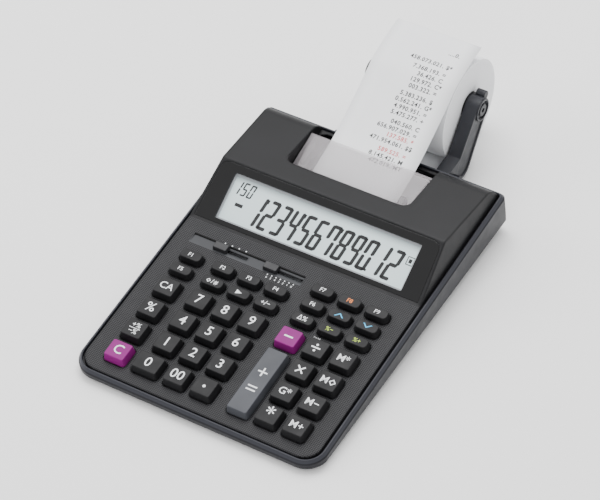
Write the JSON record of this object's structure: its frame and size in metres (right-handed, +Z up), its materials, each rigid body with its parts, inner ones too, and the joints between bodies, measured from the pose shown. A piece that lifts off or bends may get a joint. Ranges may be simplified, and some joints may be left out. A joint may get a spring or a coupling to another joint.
{
  "type": "desk calculator",
  "caption": "Printing desk calculator with a sloped key deck, tilted display, paper recess and a paper roll carried behind it on two arms.",
  "frame": {"origin": "on the resting surface, under the centre of the whole object's box", "axes": "+X to the user's right, +Y away from the user towards the paper roll, +Z up"},
  "size_m": [0.1646, 0.3019, 0.0699],
  "materials": {
    "lower_plastic": "fine matte moulding",
    "upper_plastic": "dark grey moulding with a fine woven texture on the deck",
    "display_black": "gloss",
    "lcd_glass": "pale display glass in a satin frame",
    "mat_rubber": "matte silicone",
    "board_laminate": "lacquered laminate",
    "jack_plastic": "matte",
    "printer_plastic": "matte",
    "roller_rubber": "matte rubber",
    "clear_cover": "smoked clear",
    "printed_paper": "thin paper printed in two colours",
    "roll_paper": "wound paper",
    "arm_plastic": "satin moulding",
    "foot_rubber": "matte rubber",
    "knob_plastic": "matte",
    "key_black": "matte, white legends",
    "key_magenta": "matte, white legend",
    "key_grey": "matte, white legend"
  },
  "bodies": {
    "case": {"lower_case": "lower_plastic", "upper_case": "upper_plastic", "display_panel": "display_black", "lcd_module": "lcd_glass", "keypad_mat": "mat_rubber", "main_board": "board_laminate", "dc_jack": "jack_plastic", "printer_unit": "printer_plastic", "printer_cover": "clear_cover", "paper_strip": "printed_paper", "rubber_feet": "foot_rubber"},
    "roll_holder": {"roll_arms": "arm_plastic"},
    "roll": {"paper_roll": "roll_paper"},
    "platen": {"feed_roller": "roller_rubber"},
    "battery_door": {"battery_cover": "lower_plastic"},
    "key_clear": {"key_clear": "key_magenta"},
    "key_mark_up": {"key_mark_up": "key_black"},
    "key_percent": {"key_percent": "key_black"},
    "key_clear_all": {"key_clear_all": "key_black"},
    "key_1": {"key_1": "key_black"},
    "key_4": {"key_4": "key_black"},
    "key_7": {"key_7": "key_black"},
    "key_double_zero": {"key_double_zero": "key_black"},
    "key_2": {"key_2": "key_black"},
    "key_5": {"key_5": "key_black"},
    "key_8": {"key_8": "key_black"},
    "key_point": {"key_point": "key_black"},
    "key_3": {"key_3": "key_black"},
    "key_6": {"key_6": "key_black"},
    "key_9": {"key_9": "key_black"},
    "key_minus": {"key_minus": "key_magenta"},
    "key_total": {"key_total": "key_black"},
    "key_grand_total": {"key_grand_total": "key_black"},
    "key_multiply": {"key_multiply": "key_black"},
    "key_divide": {"key_divide": "key_black"},
    "key_memory_plus": {"key_memory_plus": "key_black"},
    "key_memory_minus": {"key_memory_minus": "key_black"},
    "key_memory_subtotal": {"key_memory_subtotal": "key_black"},
    "key_memory_total": {"key_memory_total": "key_black"},
    "key_item_average": {"key_item_average": "key_black"},
    "key_time": {"key_time": "key_black"},
    "key_non_add": {"key_non_add": "key_black"},
    "key_cost": {"key_cost": "key_black"},
    "key_right_shift": {"key_right_shift": "key_black"},
    "key_sell": {"key_sell": "key_black"},
    "key_sign": {"key_sign": "key_black"},
    "key_margin": {"key_margin": "key_black"},
    "key_delta_percent": {"key_delta_percent": "key_black"},
    "key_correct": {"key_correct": "key_black"},
    "key_print": {"key_print": "key_black"},
    "key_tax_minus": {"key_tax_minus": "key_black"},
    "key_page_up": {"key_page_up": "key_black"},
    "key_reprint": {"key_reprint": "key_black"},
    "key_tax_plus": {"key_tax_plus": "key_black"},
    "key_page_down": {"key_page_down": "key_black"},
    "key_feed": {"key_feed": "key_black"},
    "key_0": {"key_0": "key_black"},
    "key_plus_equals": {"key_plus_equals": "key_grey"},
    "function_switch": {"function_switch": "knob_plastic"},
    "decimal_switch": {"decimal_switch": "knob_plastic"}
  },
  "joints": [
    {"name": "function_slide", "type": "slide", "parent": "case", "child": "function_switch", "axis": [1, 0, 0], "range_m": [0, 0.0144]},
    {"name": "decimal_slide", "type": "slide", "parent": "case", "child": "decimal_switch", "axis": [1, 0, 0], "range_m": [0, 0.0176]},
    {"name": "holder_lift", "type": "hinge", "parent": "case", "child": "roll_holder", "pos_m": [0, 0.07917, 0.0117], "axis": [1, 0, 0], "range_deg": [0, 18], "deforming": ["paper_strip"]},
    {"name": "roll_spin", "type": "hinge", "parent": "roll_holder", "child": "roll", "pos_m": [0, 0.11876, 0.03305], "axis": [1, 0, 0], "continuous": true},
    {"name": "feed_spin", "type": "hinge", "parent": "case", "child": "platen", "pos_m": [0, 0.03476, 0.02292], "axis": [1, 0, 0], "continuous": true},
    {"name": "battery_cover_slide", "type": "slide", "parent": "case", "child": "battery_door", "axis": [0, 0.9998, 0.0175], "range_m": [0, 0.006]},
    {"name": "press_clear", "type": "slide", "parent": "case", "child": "key_clear", "axis": [0, 0.1045, -0.9945], "range_m": [0, 0.002], "stiffness_N_per_m": 300, "springref_m": -0.0015},
    {"name": "press_mark_up", "type": "slide", "parent": "case", "child": "key_mark_up", "axis": [0, 0.1045, -0.9945], "range_m": [0, 0.002], "stiffness_N_per_m": 300, "springref_m": -0.0015},
    {"name": "press_percent", "type": "slide", "parent": "case", "child": "key_percent", "axis": [0, 0.1045, -0.9945], "range_m": [0, 0.002], "stiffness_N_per_m": 300, "springref_m": -0.0015},
    {"name": "press_clear_all", "type": "slide", "parent": "case", "child": "key_clear_all", "axis": [0, 0.1045, -0.9945], "range_m": [0, 0.002], "stiffness_N_per_m": 300, "springref_m": -0.0015},
    {"name": "press_1", "type": "slide", "parent": "case", "child": "key_1", "axis": [0, 0.1045, -0.9945], "range_m": [0, 0.002], "stiffness_N_per_m": 300, "springref_m": -0.0015},
    {"name": "press_4", "type": "slide", "parent": "case", "child": "key_4", "axis": [0, 0.1045, -0.9945], "range_m": [0, 0.002], "stiffness_N_per_m": 300, "springref_m": -0.0015},
    {"name": "press_7", "type": "slide", "parent": "case", "child": "key_7", "axis": [0, 0.1045, -0.9945], "range_m": [0, 0.002], "stiffness_N_per_m": 300, "springref_m": -0.0015},
    {"name": "press_double_zero", "type": "slide", "parent": "case", "child": "key_double_zero", "axis": [0, 0.1045, -0.9945], "range_m": [0, 0.002], "stiffness_N_per_m": 300, "springref_m": -0.0015},
    {"name": "press_2", "type": "slide", "parent": "case", "child": "key_2", "axis": [0, 0.1045, -0.9945], "range_m": [0, 0.002], "stiffness_N_per_m": 300, "springref_m": -0.0015},
    {"name": "press_5", "type": "slide", "parent": "case", "child": "key_5", "axis": [0, 0.1045, -0.9945], "range_m": [0, 0.002], "stiffness_N_per_m": 300, "springref_m": -0.0015},
    {"name": "press_8", "type": "slide", "parent": "case", "child": "key_8", "axis": [0, 0.1045, -0.9945], "range_m": [0, 0.002], "stiffness_N_per_m": 300, "springref_m": -0.0015},
    {"name": "press_point", "type": "slide", "parent": "case", "child": "key_point", "axis": [0, 0.1045, -0.9945], "range_m": [0, 0.002], "stiffness_N_per_m": 300, "springref_m": -0.0015},
    {"name": "press_3", "type": "slide", "parent": "case", "child": "key_3", "axis": [0, 0.1045, -0.9945], "range_m": [0, 0.002], "stiffness_N_per_m": 300, "springref_m": -0.0015},
    {"name": "press_6", "type": "slide", "parent": "case", "child": "key_6", "axis": [0, 0.1045, -0.9945], "range_m": [0, 0.002], "stiffness_N_per_m": 300, "springref_m": -0.0015},
    {"name": "press_9", "type": "slide", "parent": "case", "child": "key_9", "axis": [0, 0.1045, -0.9945], "range_m": [0, 0.002], "stiffness_N_per_m": 300, "springref_m": -0.0015},
    {"name": "press_minus", "type": "slide", "parent": "case", "child": "key_minus", "axis": [0, 0.1045, -0.9945], "range_m": [0, 0.002], "stiffness_N_per_m": 300, "springref_m": -0.0015},
    {"name": "press_total", "type": "slide", "parent": "case", "child": "key_total", "axis": [0, 0.1045, -0.9945], "range_m": [0, 0.002], "stiffness_N_per_m": 300, "springref_m": -0.0015},
    {"name": "press_grand_total", "type": "slide", "parent": "case", "child": "key_grand_total", "axis": [0, 0.1045, -0.9945], "range_m": [0, 0.002], "stiffness_N_per_m": 300, "springref_m": -0.0015},
    {"name": "press_multiply", "type": "slide", "parent": "case", "child": "key_multiply", "axis": [0, 0.1045, -0.9945], "range_m": [0, 0.002], "stiffness_N_per_m": 300, "springref_m": -0.0015},
    {"name": "press_divide", "type": "slide", "parent": "case", "child": "key_divide", "axis": [0, 0.1045, -0.9945], "range_m": [0, 0.002], "stiffness_N_per_m": 300, "springref_m": -0.0015},
    {"name": "press_memory_plus", "type": "slide", "parent": "case", "child": "key_memory_plus", "axis": [0, 0.1045, -0.9945], "range_m": [0, 0.002], "stiffness_N_per_m": 300, "springref_m": -0.0015},
    {"name": "press_memory_minus", "type": "slide", "parent": "case", "child": "key_memory_minus", "axis": [0, 0.1045, -0.9945], "range_m": [0, 0.002], "stiffness_N_per_m": 300, "springref_m": -0.0015},
    {"name": "press_memory_subtotal", "type": "slide", "parent": "case", "child": "key_memory_subtotal", "axis": [0, 0.1045, -0.9945], "range_m": [0, 0.002], "stiffness_N_per_m": 300, "springref_m": -0.0015},
    {"name": "press_memory_total", "type": "slide", "parent": "case", "child": "key_memory_total", "axis": [0, 0.1045, -0.9945], "range_m": [0, 0.002], "stiffness_N_per_m": 300, "springref_m": -0.0015},
    {"name": "press_item_average", "type": "slide", "parent": "case", "child": "key_item_average", "axis": [0, 0.1045, -0.9945], "range_m": [0, 0.002], "stiffness_N_per_m": 300, "springref_m": -0.0015},
    {"name": "press_time", "type": "slide", "parent": "case", "child": "key_time", "axis": [0, 0.1045, -0.9945], "range_m": [0, 0.002], "stiffness_N_per_m": 300, "springref_m": -0.0015},
    {"name": "press_non_add", "type": "slide", "parent": "case", "child": "key_non_add", "axis": [0, 0.1045, -0.9945], "range_m": [0, 0.002], "stiffness_N_per_m": 300, "springref_m": -0.0015},
    {"name": "press_cost", "type": "slide", "parent": "case", "child": "key_cost", "axis": [0, 0.1045, -0.9945], "range_m": [0, 0.002], "stiffness_N_per_m": 300, "springref_m": -0.0015},
    {"name": "press_right_shift", "type": "slide", "parent": "case", "child": "key_right_shift", "axis": [0, 0.1045, -0.9945], "range_m": [0, 0.002], "stiffness_N_per_m": 300, "springref_m": -0.0015},
    {"name": "press_sell", "type": "slide", "parent": "case", "child": "key_sell", "axis": [0, 0.1045, -0.9945], "range_m": [0, 0.002], "stiffness_N_per_m": 300, "springref_m": -0.0015},
    {"name": "press_sign", "type": "slide", "parent": "case", "child": "key_sign", "axis": [0, 0.1045, -0.9945], "range_m": [0, 0.002], "stiffness_N_per_m": 300, "springref_m": -0.0015},
    {"name": "press_margin", "type": "slide", "parent": "case", "child": "key_margin", "axis": [0, 0.1045, -0.9945], "range_m": [0, 0.002], "stiffness_N_per_m": 300, "springref_m": -0.0015},
    {"name": "press_delta_percent", "type": "slide", "parent": "case", "child": "key_delta_percent", "axis": [0, 0.1045, -0.9945], "range_m": [0, 0.002], "stiffness_N_per_m": 300, "springref_m": -0.0015},
    {"name": "press_correct", "type": "slide", "parent": "case", "child": "key_correct", "axis": [0, 0.1045, -0.9945], "range_m": [0, 0.002], "stiffness_N_per_m": 300, "springref_m": -0.0015},
    {"name": "press_print", "type": "slide", "parent": "case", "child": "key_print", "axis": [0, 0.1045, -0.9945], "range_m": [0, 0.002], "stiffness_N_per_m": 300, "springref_m": -0.0015},
    {"name": "press_tax_minus", "type": "slide", "parent": "case", "child": "key_tax_minus", "axis": [0, 0.1045, -0.9945], "range_m": [0, 0.002], "stiffness_N_per_m": 300, "springref_m": -0.0015},
    {"name": "press_page_up", "type": "slide", "parent": "case", "child": "key_page_up", "axis": [0, 0.1045, -0.9945], "range_m": [0, 0.002], "stiffness_N_per_m": 300, "springref_m": -0.0015},
    {"name": "press_reprint", "type": "slide", "parent": "case", "child": "key_reprint", "axis": [0, 0.1045, -0.9945], "range_m": [0, 0.002], "stiffness_N_per_m": 300, "springref_m": -0.0015},
    {"name": "press_tax_plus", "type": "slide", "parent": "case", "child": "key_tax_plus", "axis": [0, 0.1045, -0.9945], "range_m": [0, 0.002], "stiffness_N_per_m": 300, "springref_m": -0.0015},
    {"name": "press_page_down", "type": "slide", "parent": "case", "child": "key_page_down", "axis": [0, 0.1045, -0.9945], "range_m": [0, 0.002], "stiffness_N_per_m": 300, "springref_m": -0.0015},
    {"name": "press_feed", "type": "slide", "parent": "case", "child": "key_feed", "axis": [0, 0.1045, -0.9945], "range_m": [0, 0.002], "stiffness_N_per_m": 300, "springref_m": -0.0015},
    {"name": "press_0", "type": "slide", "parent": "case", "child": "key_0", "axis": [0, 0.1045, -0.9945], "range_m": [0, 0.002], "stiffness_N_per_m": 300, "springref_m": -0.0015},
    {"name": "press_plus_equals", "type": "slide", "parent": "case", "child": "key_plus_equals", "axis": [0, 0.1045, -0.9945], "range_m": [0, 0.002], "stiffness_N_per_m": 300, "springref_m": -0.0015}
  ],
  "couplings": [
    {"joint": "feed_spin", "follows": "roll_spin", "ratio": 4.411}
  ]
}
